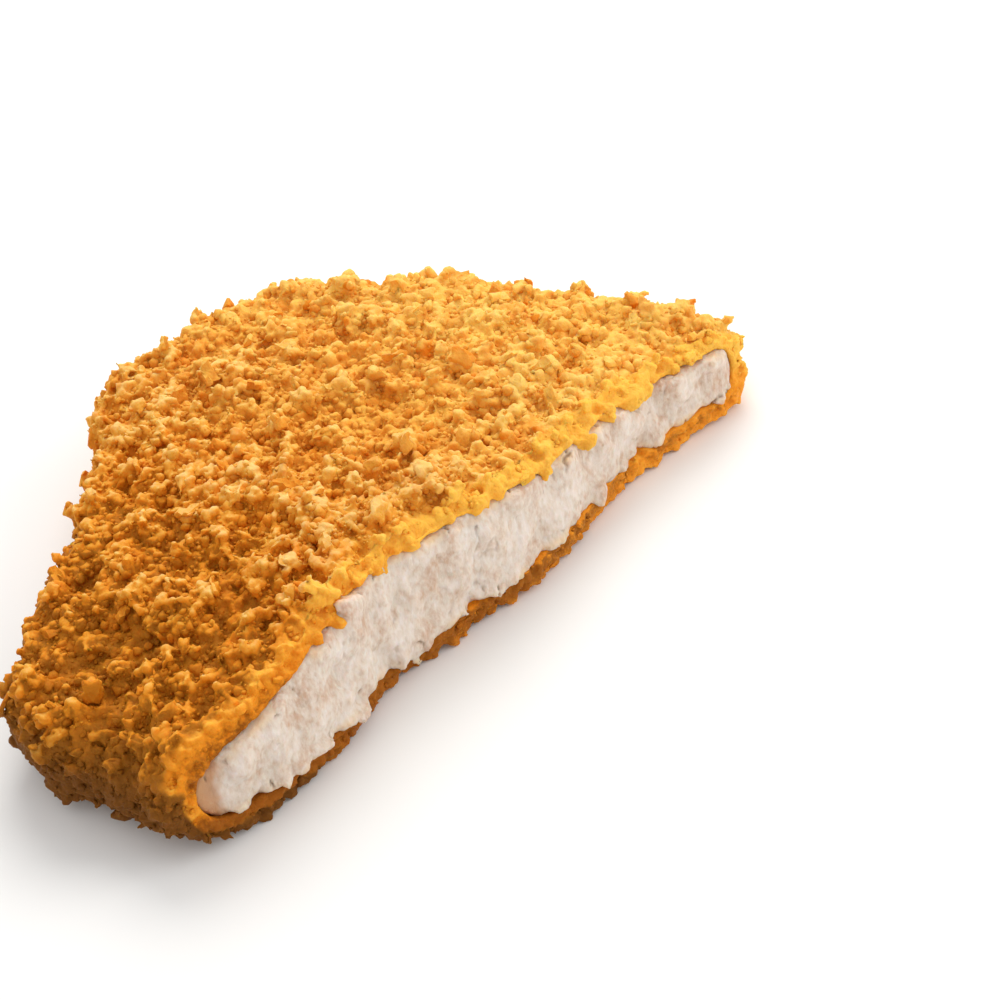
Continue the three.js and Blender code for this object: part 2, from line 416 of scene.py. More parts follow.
def fried_crumb(name, glow):
    """Bread crumb fried in oil: dry, matt and orange-gold, with painted light on what stands up and
    painted shade that turns it brown down in the gaps. It is fat-soaked at the cut, with painted light
    on the strip beside it. Light goes as deep into it as glow, in metres."""
    finish = bpy.context.scene.schnitzel_finish
    material, tree = new_material(name)
    place = add_node(tree, "ShaderNodeTexCoord").outputs["Object"]
    x, _, z = split(tree, place)
    # From 0 to 1 between two places along the cut, or between two heights, in millimetres.
    along, up = partial(ramped_mm, tree, x), partial(ramped_mm, tree, z)
    rise = attribute_value(tree, RISE)
    tone = attribute_value(tree, TONE)
    specks = total(tree, -0.4, (grain(tree, place, 0.45 * MM, 3.0, 0.65), 0.8))
    each = total(tree, -0.24, (tone, 0.36))
    # Painted light and shade: heaps, tips and crust that rises far off the meat are painted paler, and
    # the valleys, gaps and low crust between them darker, where shade falls.
    heaps = ramped(tree, attribute_value(tree, HEAP), -0.9, 0.9)
    contrast = total(tree, 0.5, (along(-32, -12), -0.26))
    tips = total(tree, ramped(tree, attribute_value(tree, CREST), -0.8, 0.8), -0.5)
    painted_cut_light = product(tree, attribute_value(tree, NEAR), along(-36, -10))
    # Broad patches are browner or paler, as the oil caught them. The browner end is partly fried darker
    # and partly painted shade, and the paler end is partly painted light. Worn places, the low side and
    # the ledge, are painted darker, partly browner crust and partly painted shade. The strip near the
    # cut is painted lighter, as painted light.
    patches = total(
        tree, -0.25, (grain(tree, place, 11 * MM), 0.5), (along(-34, -12), 0.27),
        (along(6, 34), 0.26), (along(-20, -38), -0.18),
        -0.24, (heaps, 0.4), product(tree, tips, contrast), (attribute_value(tree, WORN), -0.3),
        (painted_cut_light, 0.32))
    # Painted light: faces turned up towards the key light are painted paler and the sides darker, as if
    # lit from above and behind.
    facing = add_node(tree, "ShaderNodeNewGeometry").outputs["Normal"]
    toward_key_light = combine_vectors(tree, "DOT_PRODUCT", facing, (0.4, 0.3, 0.87))
    painted_top_light = total(tree, -0.3, (ramped(tree, toward_key_light, 0.2, 0.95), 0.5))
    level = total(tree, total(tree, rise, each), total(tree, patches, specks), painted_top_light)
    # The painted shade in the gaps goes deep only at the browner end; elsewhere the level is held above
    # a floor.
    gap_shade_floor = total(tree, 0.0, (along(-44, -4), 0.48), (along(4, 30), 0.2))
    level = combine(tree, "MAXIMUM", level, gap_shade_floor)
    crust = colour_ramp(tree, product(tree, level, 0.65), [
        (0.16, finish.crumb_deep_and_shaded), (0.36, finish.crumb_mid), (0.66, finish.crumb_pale_and_lit),
        (1.0, finish.crumb_palest)])
    # Towards the paler end the higher levels turn golden: partly crumb that browned less, partly painted
    # light.
    golden = total(tree, 0.04, (along(-22, 34), 0.78))
    golden = product(tree, golden, ramped(tree, level, 0.05, 0.75))
    crust = mixed(tree, golden, crust, colour(finish.crumb_golden_and_lit))
    spread = total(tree, 0.35, (along(0, 26), 0.25))
    toasted = total(
        tree, product(tree, ramped(tree, tone, 0.38, 0.14), spread),
        (ramped(tree, grain(tree, place, 2.6 * MM, 1.0), 0.5, 0.68), 0.42))
    crust = mixed(tree, toasted, crust, colour(finish.crumb_toasted))
    # At the cut the coating is soaked with fat. Its colour there also holds painted shade and light:
    # darker next to the meat, low down and on the shelf under the meat, which is painted shadow, and
    # paler higher up, towards the paler end and on lit tops.
    tip = product(tree, along(-35, -39), up(10, 6))
    shelf_shadow = product(
        tree, up(6, 3), total(tree, 0.5, (along(34, 4), 0.6)))
    lip_level = total(
        tree, product(tree, total(tree, rise, specks, painted_top_light), 0.65), (along(-38, 0), 0.8),
        (tip, 0.35), (up(1.5, 6), 0.6), (shelf_shadow, -0.4), -0.38, (each, 0.6))
    lip = colour_ramp(tree, lip_level, [
        (0.0, finish.lip_deep_and_shaded), (0.3, finish.lip), (1.0, finish.lip_pale)])
    ragged = total(tree, -0.45, (grain(tree, place, 2.2 * MM), 0.9))
    soaked = ramped(tree, total(tree, attribute_value(tree, EDGE), ragged), 0.25, 0.85)
    base = mixed(tree, product(tree, soaked, 0.88), crust, lip)
    # The browner end is darkest low on its side: partly fried browner, partly painted shade where that
    # side turns away from the light.
    low = product(
        tree, along(-14, -30), up(14, 6),
        combine(tree, "SUBTRACT", 1.0, soaked), 0.95)
    base = mixed(tree, low, base, colour(finish.crumb_browned_and_shaded))
    pits = product(tree, cells(tree, place, 0.42 * MM)[0], -0.5)
    skin = total(tree, grain(tree, place, 0.4 * MM, 3.0, 0.65), pits)
    skin = product(tree, skin, total(tree, 1.0, (soaked, 0.4)))
    surfaced(tree, {
        "Base Color": base, "Normal": bumped(tree, skin, 0.16 * MM), "Roughness": 0.65, "IOR": 1.47,
        "Specular IOR Level": 0.15, "Subsurface Weight": 0.5, "Subsurface Radius": (1.0, 0.7, 0.28),
        "Subsurface Scale": glow})
    return material


def cooked_meat(name):
    """Cooked white meat: pale torn fibres, moist enough to shine softly and let light in, with the
    cracks between its fibres painted darker as shade, and a few dark pores."""
    finish = bpy.context.scene.schnitzel_finish
    material, tree = new_material(name)
    place = add_node(tree, "ShaderNodeTexCoord").outputs["Object"]
    fibres = grain(tree, combine_vectors(tree, "MULTIPLY", place, (1.0, 1.0, 0.55)), 0.6 * MM, 3.0, 0.6)
    blotch = grain(tree, place, 4 * MM)
    level = total(tree, product(tree, blotch, 0.5), (fibres, 0.5))
    flesh = colour_ramp(tree, level, [
        (0.34, finish.meat_rosy), (0.5, finish.meat), (0.64, finish.meat_pale)])
    # The meat next to the coating took up a little frying oil.
    oiled = product(tree, attribute_value(tree, OILED), ramped(tree, blotch, 0.4, 0.65), 0.7)
    flesh = mixed(tree, oiled, flesh, colour(finish.meat_oiled))
    # It thins out to a translucent, rosy corner at the browner end.
    corner = ramped_mm(tree, total(tree, split(tree, place)[0], (blotch, 3 * MM)), -37.2, -38.8)
    flesh = mixed(tree, product(tree, corner, 0.85), flesh, colour(finish.meat_corner))
    pores = ramped(tree, cells(tree, warped(tree, place, 1.0 * MM, 0.5 * MM), 2.4 * MM)[0], 0.16, 0.04)
    pores = product(tree, pores, ramped(tree, grain(tree, place, 3 * MM, 1.0), 0.48, 0.6), 0.4)
    # Painted shade darkens the cracks; the pores are dark specks in the same colour.
    gap = combine(tree, "MAXIMUM", product(tree, attribute_value(tree, CRACK), 0.85), pores)
    surfaced(tree, {
        "Base Color": mixed(tree, gap, flesh, colour(finish.meat_crack_shade_and_pores)),
        "Normal": bumped(tree, fibres, 0.22 * MM), "Roughness": 0.5, "IOR": 1.4,
        "Specular IOR Level": 0.3, "Subsurface Weight": 0.6, "Subsurface Radius": (1.0, 0.6, 0.42),
        "Subsurface Scale": 1.4 * MM})
    return material


# ---------- geometry nodes

def new_shape_tree(name):
    """A node group for the Geometry Nodes modifier, with the geometry that comes in."""
    tree = bpy.data.node_groups.new(name, "GeometryNodeTree")
    for way in ("INPUT", "OUTPUT"):
        tree.interface.new_socket("Geometry", in_out=way, socket_type="NodeSocketGeometry")
    return tree, add_node(tree, "NodeGroupInput").outputs["Geometry"]


def close_tree(tree, geometry):
    add_node(tree, "NodeGroupOutput", {"Geometry": geometry})
    return tree


def stored(tree, geometry, name, value):
    return add_node(
        tree, "GeometryNodeStoreNamedAttribute", {"Geometry": geometry, "Name": name, "Value": value},
        data_type="FLOAT", domain="POINT").outputs["Geometry"]


def enabled(sockets, name):
    return next(s for s in sockets if s.name == name and s.enabled)


def named(tree, name):
    node = add_node(tree, "GeometryNodeInputNamedAttribute", {"Name": name}, data_type="FLOAT")
    return enabled(node.outputs, "Attribute")


def position(tree):
    return add_node(tree, "GeometryNodeInputPosition").outputs["Position"]


def normal(tree):
    return add_node(tree, "GeometryNodeInputNormal").outputs["Normal"]


def off_the(tree, node):
    """How far this place is from one of the solids, in metres."""
    solid = add_node(tree, "GeometryNodeObjectInfo", {"Object": frame["nodes"][node]})
    return add_node(
        tree, "GeometryNodeProximity",
        {"Geometry": solid.outputs["Geometry"], "Sample Position": position(tree)},
        target_element="FACES").outputs["Distance"]


def behind_the_cut(tree):
    """How far this place lies behind the swaying line of the cut, in metres."""
    x, y, _ = split(tree, position(tree))
    turn = 2 * math.pi / CUT_SWAY["length"]
    angle = total(tree, -CUT_SWAY["crest"] * turn, (x, turn))
    line = total(tree, CUT_MIDDLE.y, (combine(tree, "COSINE", angle), CUT_SWAY["depth"]))
    return combine(tree, "SUBTRACT", y, line)


def with_rise(tree, geometry):
    foot, top = RISE_SPAN
    rise = ramped(tree, off_the(tree, "meat"), foot * MM, top * MM, "LINEAR")
    return stored(tree, geometry, RISE, rise)


def pressed_flat(tree, geometry):
    """Nothing reaches below the floor: the underside is pressed flat on it."""
    x, y, z = split(tree, position(tree))
    height = combine(tree, "MAXIMUM", z, 0.0)
    flat = add_node(tree, "ShaderNodeCombineXYZ", {"X": x, "Y": y, "Z": height})
    return add_node(
        tree, "GeometryNodeSetPosition", {"Geometry": geometry, "Position": flat.outputs["Vector"]},
    ).outputs["Geometry"]


def raised(tree, geometry, height):
    """Moves the surface along its normal by height, in metres."""
    offset = add_node(
        tree, "ShaderNodeVectorMath", {0: normal(tree), "Scale": height}, operation="SCALE")
    return add_node(
        tree, "GeometryNodeSetPosition", {"Geometry": geometry, "Offset": offset.outputs["Vector"]},
    ).outputs["Geometry"]


# ---------- the crust's surface

def marked(tree, surface, foot, top):
    """Marks where crumbs of each kind may stand on the coating, and where it is soaked or worn. A hill
    is what stands off the meat by more than its foot, in millimetres."""
    x, _, z = split(tree, position(tree))
    upward = split(tree, normal(tree))[2]
    # From 0 to 1 between two distances off the meat or behind the cut, two places along the cut or
    # two heights, in millimetres.
    off, back, along, up = (
        partial(ramped_mm, tree, value) for value in (off_the(tree, "meat"), behind_the_cut(tree), x, z))
    # Large crumbs stand on the hills of the crust, and hardly any low on its browner end.
    brown_end = along(-20, -32)
    side = product(tree, brown_end, up(11, 8))
    lip_strip = product(tree, brown_end, back(4.5, 3))
    ledge = product(tree, up(5, 3.5), back(4, 2.5))
    outside = product(tree, side, off(1.4, 2.4))
    edge = product(tree, back(3.6, 1.0), combine(tree, "SUBTRACT", 1.0, outside))
    near_meat = product(tree, off(0.2, 0.5), off(2.6, 2.0))
    # Hills keep away from the steep rim and from the far end.
    clear = product(tree, ramped(tree, upward, 0.3, 0.7), along(43, 33))
    marks = {
        ROOM: product(
            tree, off(0.3, 1.1), total(tree, 1.0, (ramped(tree, upward, -0.5, -0.85), -0.75)),
            total(tree, 1.0, (edge, -0.6))),
        HIDDEN: product(tree, off(0.9, 0.7), back(2.6, 3.4)),
        HILL: product(tree, off(foot, top), clear),
        WORN: combine(tree, "MAXIMUM", combine(tree, "MAXIMUM", side, lip_strip), ledge),
        EDGE: edge,
        LIP: product(tree, back(2.6, 1.6), near_meat, up(7, 9)),
        NEAR: back(16, 2)}
    for name, value in marks.items():
        surface = stored(tree, surface, name, value)
    return surface


def bed_tree(drop):
    """Marks where lumps may stand, then breaks the skin of the coating into fused granules."""
    tree, surface = new_shape_tree("coating_relief")
    surface = marked(tree, surface, 2.1, 3.2)
    skin = ramped_mm(tree, off_the(tree, "meat"), 0.7, 2.0)
    place = warped(tree, position(tree), 2.0 * MM, 0.6 * MM)
    lumps = total(tree, 0.5 * MM, (cells(tree, place, 2.3 * MM)[0], -1.0 * MM))
    lumps = product(tree, lumps, total(tree, 1.0, (named(tree, WORN), -0.7)))
    granules = total(tree, 0.25 * MM, (cells(tree, place, 1.0 * MM)[0], -0.5 * MM))
    swells = total(tree, -1.2 * MM, (grain(tree, position(tree), 7 * MM, 1.0), 2.4 * MM))
    swells = product(tree, swells, ramped(tree, split(tree, normal(tree))[2], 0.2, 0.8))
    # The bed lies deep only where lumps will stand on it.
    low = ramped_mm(tree, split(tree, position(tree))[2], 5, 2.5)
    bare = combine(tree, "MAXIMUM", named(tree, WORN), low)
    sunk = product(tree, total(tree, 1.0, (bare, -0.7)), drop)
    height = total(tree, total(tree, lumps, granules), combine(tree, "SUBTRACT", swells, sunk))
    return close_tree(tree, raised(tree, surface, product(tree, height, skin)))


def standing_out(tree, reach, height):
    """How far this place stands out from the blurred surface around it, in parts of this height."""
    around = add_node(tree, "GeometryNodeBlurAttribute", {"Iterations": reach}, data_type="FLOAT_VECTOR")
    tree.links.new(position(tree), enabled(around.inputs, "Value"))
    above = combine_vectors(tree, "SUBTRACT", position(tree), enabled(around.outputs, "Value"))
    return product(tree, combine_vectors(tree, "DOT_PRODUCT", above, normal(tree)), 1 / height)


def crust_tree():
    """Roughens the fused crust, presses its underside flat and marks its tips, gaps and edges."""
    tree, surface = new_shape_tree("crust_skin")
    surface = marked(tree, surface, 2.8, 4.0)
    place = warped(tree, position(tree), 1.2 * MM, 0.3 * MM)
    lump, lump_tint = cells(tree, place, 2.3 * MM)
    granule, granule_tint = cells(tree, place, 1.05 * MM)
    lumps = product(tree, domes(tree, lump, 0.62 * MM), total(tree, 1.0, (named(tree, WORN), -0.6)))
    knobs = total(tree, -0.25 * MM, (grain(tree, place, 0.9 * MM, 3.0, 0.6), 0.5 * MM))
    height = total(tree, lumps, domes(tree, granule, 0.64 * MM), knobs)
    # The relief is milder at the paler end, and none goes into the meat.
    milder = total(tree, 1.0, (ramped_mm(tree, split(tree, position(tree))[0], 5, 38), -0.25))
    skin = product(tree, ramped_mm(tree, off_the(tree, "meat"), 0.3, 1.1), milder)
    surface = pressed_flat(tree, raised(tree, surface, product(tree, height, skin)))
    tone = total(
        tree, product(tree, split(tree, granule_tint)[0], 0.4), (split(tree, lump_tint)[0], 0.6))
    surface = stored(tree, surface, TONE, tone)
    surface = stored(tree, surface, CREST, standing_out(tree, 14, 0.5 * MM))
    surface = stored(tree, surface, HEAP, standing_out(tree, 90, 1.1 * MM))
    gap = product(tree, named(tree, ROOM), ramped(tree, named(tree, CREST), 0.2, -0.2))
    return close_tree(tree, with_rise(tree, stored(tree, surface, GAP, gap)))


# ---------- shapes of crumbs and shreds

def worn_lump(seed, spread):
    """A small rounded lump of unit size, to build crumbs from."""
    bpy.ops.mesh.primitive_ico_sphere_add(subdivisions=2, radius=1)
    with edit_mode():
        bpy.ops.mesh.select_all(action="SELECT")
        bpy.ops.transform.vertex_random(offset=spread, uniform=0.1, normal=0.6, seed=seed)
    return bpy.context.object


def torn_ball(faces, size, coarse, fine, rng):
    """A ball of this size, made lumpy by a coarse and a fine roughening of these depths."""
    bpy.ops.mesh.primitive_ico_sphere_add(subdivisions=4, radius=1)
    ball = bpy.context.object
    ball.scale = size
    settle(ball)
    roughen(ball, 1.0, coarse, rng)
    roughen(ball, 0.4, fine, rng)
    simplify(ball, faces)
    return ball


def shape_chunk(seed, faces, flatness=0.8):
    """One crumb of unit size: a broken chunk with worn corners and a lumpy skin."""
    rng = random.Random(seed)
    size = (1.1, rng.uniform(0.78, 1.0), flatness * rng.uniform(0.85, 1.15))
    return torn_ball(faces, size, 1.3, 0.6, rng)


def shape_shred(seed, faces):
    """One torn shred of meat of unit size."""
    rng = random.Random(seed)
    size = (1.35, rng.uniform(0.7, 1.0), rng.uniform(0.5, 0.75))
    return torn_ball(faces, size, 1.2, 0.5, rng)


def shape_clump(seed, faces, stones, granules):
    """One clump of unit size: a low heap of lumps and finer granules that are fried into one."""
    rng = random.Random(seed)
    breadth = rng.uniform(0.7, 0.95)
    heap = []
    for k in range(stones + granules):
        part = worn_lump(rng.randrange(1000), 0.22)
        lift = rng.uniform(-0.2, 1.0)
        around = rng.uniform(0, 2 * math.pi)
        out = (0.5 if k < stones else 0.8) * math.sqrt(1 - lift * lift)
        part.location = (out * math.cos(around), breadth * out * math.sin(around), 0.55 * lift)
        part.rotation_euler = [rng.uniform(0, math.pi) for _ in range(3)]
        girth = rng.uniform(0.3, 0.46) if k < stones else rng.uniform(0.15, 0.24)
        part.scale = (1.2 * girth, girth, 0.85 * girth)
        heap.append(part)
    bpy.ops.mesh.primitive_ico_sphere_add(subdivisions=3, radius=0.62)
    core = bpy.context.object
    core.scale = (1.0, breadth, 0.75)
    clump = fused([core] + heap, 0.05)
    smooth(clump, 2)
    roughen(clump, 0.35, 0.3, rng)
    simplify(clump, faces)
    return clump


def shape_ridge(seed, faces):
    """A large smooth lump of crust of unit size: a short crooked ridge with a few granules on it."""
    rng = random.Random(seed)
    parts = []
    for k in range(9):
        part = worn_lump(rng.randrange(1000), 0.12)
        along = rng.uniform(-0.75, 0.75)
        girth = rng.uniform(0.34, 0.5) if k < 5 else rng.uniform(0.16, 0.24)
        part.location = (
            along, 0.3 * math.sin(3 * along) + rng.uniform(-0.3, 0.3), rng.uniform(0.0, 0.34))
        part.rotation_euler = [rng.uniform(0, math.pi) for _ in range(3)]
        part.scale = (1.25 * girth, girth, 0.9 * girth)
        parts.append(part)
    ridge = fused(parts, 0.06)
    smooth(ridge, 6)
    roughen(ridge, 0.6, 0.5, rng)
    roughen(ridge, 0.22, 0.2, rng)
    simplify(ridge, faces)
    return ridge


def shape_flake(seed):
    """One flat, broken chip of crust of unit size."""
    rng = random.Random(seed)
    bpy.ops.mesh.primitive_cube_add(size=1)
    flake = bpy.context.object
    flake.scale = (1.8, rng.uniform(0.8, 1.3), 0.4)
    settle(flake)
    finish_modifier(flake, "BEVEL", width=0.13, segments=2)
    finish_modifier(flake, "SUBSURF", levels=2, subdivision_type="SIMPLE")
    roughen(flake, 1.0, 1.1, rng)
    roughen(flake, 0.35, 0.4, rng)
    simplify(flake, 90)
    return flake


# ---------- scattering

def store_variants(name, shapes, sharpness):
    """Puts the shapes in a collection of their own. Finer crumbs have room on their upper sides."""
    collection = bpy.data.collections.new(name)
    for shape in shapes:
        activate(shape)
        bpy.ops.object.shade_smooth_by_angle(angle=math.radians(sharpness))
        shape.data.attributes.new(ROOM, "FLOAT", "POINT").data.foreach_set(
            "value", [1.0 if vertex.co.z > 0.1 else 0.0 for vertex in shape.data.vertices])
        for owner in list(shape.users_collection):
            owner.objects.unlink(shape)
        collection.objects.link(shape)
    return collection


def random_value(tree, kind, low, high, seed):
    node = add_node(tree, "FunctionNodeRandomValue", data_type=kind)
    for name, value in {"Min": low, "Max": high, "Seed": seed}.items():
        enabled(node.inputs, name).default_value = value
    return enabled(node.outputs, "Value")


def scatter_tree(name, variants, spacing, radius, spread, tilt, seed, hills=0.0, worn=1.0, room=ROOM):
    """Geometry nodes that stand crumbs of these shapes on a surface, no closer than the spacing. They
    keep to its hills as hills nears 1, and off its worn places as worn nears 1."""
    tree, surface = new_shape_tree(name)
    on_hills = total(tree, 1 - hills, (named(tree, HILL), hills))
    unworn = total(tree, 1.0, (named(tree, WORN), -worn))
    points = add_node(tree, "GeometryNodeDistributePointsOnFaces", {
        "Mesh": surface, "Distance Min": spacing, "Density Max": 3.0 / spacing ** 2,
        "Density Factor": product(tree, on_hills, product(tree, unworn, named(tree, room))),
        "Seed": seed}, distribute_method="POISSON")
    seats = stored(tree, points.outputs["Points"], TONE, random_value(tree, "FLOAT", 0.0, 1.0, seed + 1))
    for used in (ROOM, HILL, LIP, WORN, HIDDEN, SHRED, CREST, HEAP, GAP):
        seats = add_node(
            tree, "GeometryNodeRemoveAttribute", {"Geometry": seats, "Name": used}).outputs[0]
    kinds = add_node(tree, "GeometryNodeCollectionInfo", {
        "Collection": variants, "Separate Children": True, "Reset Children": True})
    turn = random_value(tree, "FLOAT_VECTOR", (-tilt, -tilt, -math.pi), (tilt, tilt, math.pi), seed + 2)
    stand = add_node(tree, "FunctionNodeRotateRotation", {
        "Rotation": points.outputs["Rotation"], "Rotate By": turn}, rotation_space="LOCAL")
    size = random_value(tree, "FLOAT", radius * (1 - spread), radius * (1 + spread), seed + 3)
    crumbs = add_node(tree, "GeometryNodeInstanceOnPoints", {
        "Points": seats, "Instance": kinds.outputs[0], "Pick Instance": True,
        "Rotation": stand.outputs["Rotation"], "Scale": size})
    real = add_node(tree, "GeometryNodeRealizeInstances", {"Geometry": crumbs.outputs["Instances"]})
    return close_tree(tree, with_rise(tree, pressed_flat(tree, real.outputs["Geometry"])))


def ground_of(name, pieces):
    """One mesh of all that the crumbs may stand on."""
    copies = []
    for piece in pieces:
        copy = bpy.data.objects.new(name, bpy.data.objects[piece].data.copy())
        bpy.context.scene.collection.objects.link(copy)
        copies.append(copy)
    ground = joined(copies)
    ground.data.materials.clear()
    return ground


def scattered(name, ground, shapes, sharpness=180, **arrangement):
    """Crumbs of one kind, standing all over the pieces named in ground, as one mesh."""
    piece = ground_of(name, ground)
    variants = store_variants(name + "_shapes", shapes, sharpness)
    finish_modifier(piece, "NODES", node_group=scatter_tree(name, variants, **arrangement))
    for shape in list(variants.objects):
        bpy.data.objects.remove(shape)
    bpy.data.collections.remove(variants)
    piece.data.materials.clear()
    return piece


# ---------- crust and crumbs

class SCHNITZEL_OT_crust(bpy.types.Operator):
    """The fried crust, open at the cut: a bed of coating with heaps, clumps and nuggets fused to it."""

    bl_idname = "schnitzel.crust"
    bl_label = "Crust"

    def execute(self, context):
        sizes = context.scene.schnitzel_crumbs
        bed = copy_of_solid("crumb_coating", "fried_crust")
        finish_modifier(bed, "REMESH", mode="VOXEL", voxel_size=sizes.bed_voxel)
        smooth(bed, 4)
        finish_modifier(bed, "NODES", node_group=bed_tree(sizes.bed_drop))
        ground = ["fried_crust"]
        clumps = [shape_clump(100 + k, faces=560, stones=9, granules=14) for k in range(3)]
        lumps = [scattered(
            "heaps", ground, clumps + [shape_ridge(110 + k, faces=420) for k in range(6)],
            spacing=3.9 * MM, radius=sizes.heap_radius, spread=0.35, tilt=0.35, seed=11, hills=0.8)]
        clumps = [shape_clump(130 + k, faces=320, stones=5, granules=8) for k in range(5)]
        lumps.append(scattered(
            "clumps", ground, clumps + [shape_ridge(140 + k, faces=240) for k in range(4)],
            spacing=2.7 * MM, radius=sizes.clump_radius, spread=0.4, tilt=0.5, seed=17, hills=0.65))
        ridges = [shape_ridge(160 + k, faces=320) for k in range(3)]
        lumps.append(scattered(
            "overhang", ground,
            ridges + [shape_clump(166 + k, faces=320, stones=4, granules=8) for k in range(4)],
            spacing=2.4 * MM, radius=sizes.overhang_radius, spread=0.4, tilt=0.4, seed=19, room=LIP))
        lumps.append(scattered(
            "nuggets", ground, [shape_chunk(200 + k, faces=120) for k in range(9)],
            spacing=2.1 * MM, radius=sizes.nugget_radius, spread=0.5, tilt=0.7, seed=23, hills=0.35))
        lumps.append(scattered(
            "granules", ground + ["heaps", "clumps", "overhang", "nuggets"],
            [shape_chunk(300 + k, faces=40) for k in range(9)],
            spacing=1.15 * MM, radius=sizes.crumb_radius, spread=0.4, tilt=0.8, seed=29, worn=0.2))
        crust = fused([bed] + lumps, sizes.crust_voxel)
        smooth(crust, 1)
        finish_modifier(crust, "NODES", node_group=crust_tree())
        smooth(crust, 1)
        in_pocket = [value.value > 0.5 for value in crust.data.attributes[HIDDEN].data]
        thin_out(crust, in_pocket, POCKET_SHARE)
        thin_out(crust, [vertex.co.z < UNDERSIDE for vertex in crust.data.vertices], UNDERSIDE_SHARE)
        simplify(crust, CRUST_TRIANGLES)
        crust.data.materials.append(fried_crumb("fried_coating_crust", GLOW["fried_crust"]))
        bpy.ops.object.shade_smooth()
        return {"FINISHED"}


class SCHNITZEL_OT_crumbs(bpy.types.Operator):
    """The loose crumbs that are fried on to the crust: flat chips, small crumbs and grit."""

    bl_idname = "schnitzel.crumbs"
    bl_label = "Crumbs"

    def execute(self, context):
        sizes = context.scene.schnitzel_crumbs
        crust = ["fried_crust"]
        kinds = [
            scattered(
                "crumb_flakes", crust, [shape_flake(500 + k) for k in range(7)], sharpness=50,
                spacing=3.8 * MM, radius=sizes.flake_radius, spread=0.4, tilt=0.5, seed=71, worn=0.6),
            scattered(
                "crumb_small", crust, [shape_chunk(300 + k, faces=48) for k in range(9)],
                spacing=1.1 * MM, radius=sizes.crumb_radius, spread=0.5, tilt=0.8, seed=37, worn=0.6,
                room=GAP),
            scattered(
                "crumb_grit", crust, [shape_chunk(400 + k, faces=18, flatness=0.5) for k in range(9)],
                spacing=0.56 * MM, radius=sizes.grit_radius, spread=0.5, tilt=0.6, seed=53, worn=0.25,
                room=GAP)]
        for piece in kinds:
            piece.data.materials.append(fried_crumb("fried_" + piece.name, GLOW[piece.name]))
            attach(piece, "root")
        return {"FINISHED"}


# ---------- the meat

def rim_tree():
    """Marks the lower rim of the cut face, where shreds hang."""
    tree, surface = new_shape_tree("lower_rim")
    shown = ramped_mm(tree, behind_the_cut(tree), 2.4, 1.2)
    down = ramped(tree, split(tree, normal(tree))[2], -0.1, -0.4)
    rim = ramped_mm(tree, off_the(tree, "crumb_coating"), 1.3, 0.9)
    return close_tree(tree, stored(tree, surface, SHRED, product(tree, down, rim, shown)))


def torn_tree(clump_depth, fibre_depth):
    """Breaks the cut face of the meat into soft clumps of fibre with a few thin cracks."""
    tree, surface = new_shape_tree("torn_meat")
    shown = ramped_mm(tree, behind_the_cut(tree), 2.4, 1.2)
    rim = off_the(tree, "crumb_coating")
    upright = combine_vectors(tree, "MULTIPLY", position(tree), (1.0, 1.0, 0.65))
    place = warped(tree, upright, 2.2 * MM, 1.5 * MM)
    clumps = total(tree, clump_depth, (cells(tree, place, 2.8 * MM, "SMOOTH_F1")[0], -2.2 * clump_depth))
    bundles = grain(tree, place, 1.1 * MM, 1.0)
    strands = combine_vectors(tree, "MULTIPLY", position(tree), (1.0, 1.0, 0.6))
    height = total(tree, clumps, *(
        total(tree, -1.2 * fibre_depth, (fibres, 2.4 * fibre_depth))
        for fibres in (bundles, grain(tree, strands, 0.7 * MM, 2.0))))
    # A crack runs where the noise crosses its middle, and opens here and there, most by the coating.
    wander = grain(tree, combine_vectors(tree, "MULTIPLY", upright, (1.0, 1.0, 0.7)), 4 * MM, 2.0, 0.6)
    thin = ramped(tree, combine(tree, "ABSOLUTE", combine(tree, "SUBTRACT", wander, 0.5)), 0.02, 0.002)
    open_here = ramped(tree, grain(tree, position(tree), 2.6 * MM, 1.0), 0.54, 0.64)
    by_coating = total(tree, 0.3, (ramped_mm(tree, rim, 2.4, 1.0), 0.7))
    crack = product(tree, thin, open_here, by_coating, shown)
    surface = stored(tree, surface, CRACK, crack)
    surface = stored(tree, surface, OILED, ramped_mm(tree, rim, 1.5, 0.2))
    height = total(tree, height, (crack, -0.35 * MM))
    return close_tree(tree, raised(tree, surface, product(tree, height, shown)))


def hang_shred(seed, along, height, length, width, lean):
    """One shred of meat that hangs on the cut at this place, all in metres but its lean in degrees."""
    shred = shape_shred(seed, faces=500)
    shred.scale = (0.5 * length, 0.5 * width, 0.5 * width)
    shred.location = (along, cut_line(along) - 0.2 * width, height)
    shred.rotation_euler = (0, math.radians(lean), 0)
    settle(shred)
    return shred


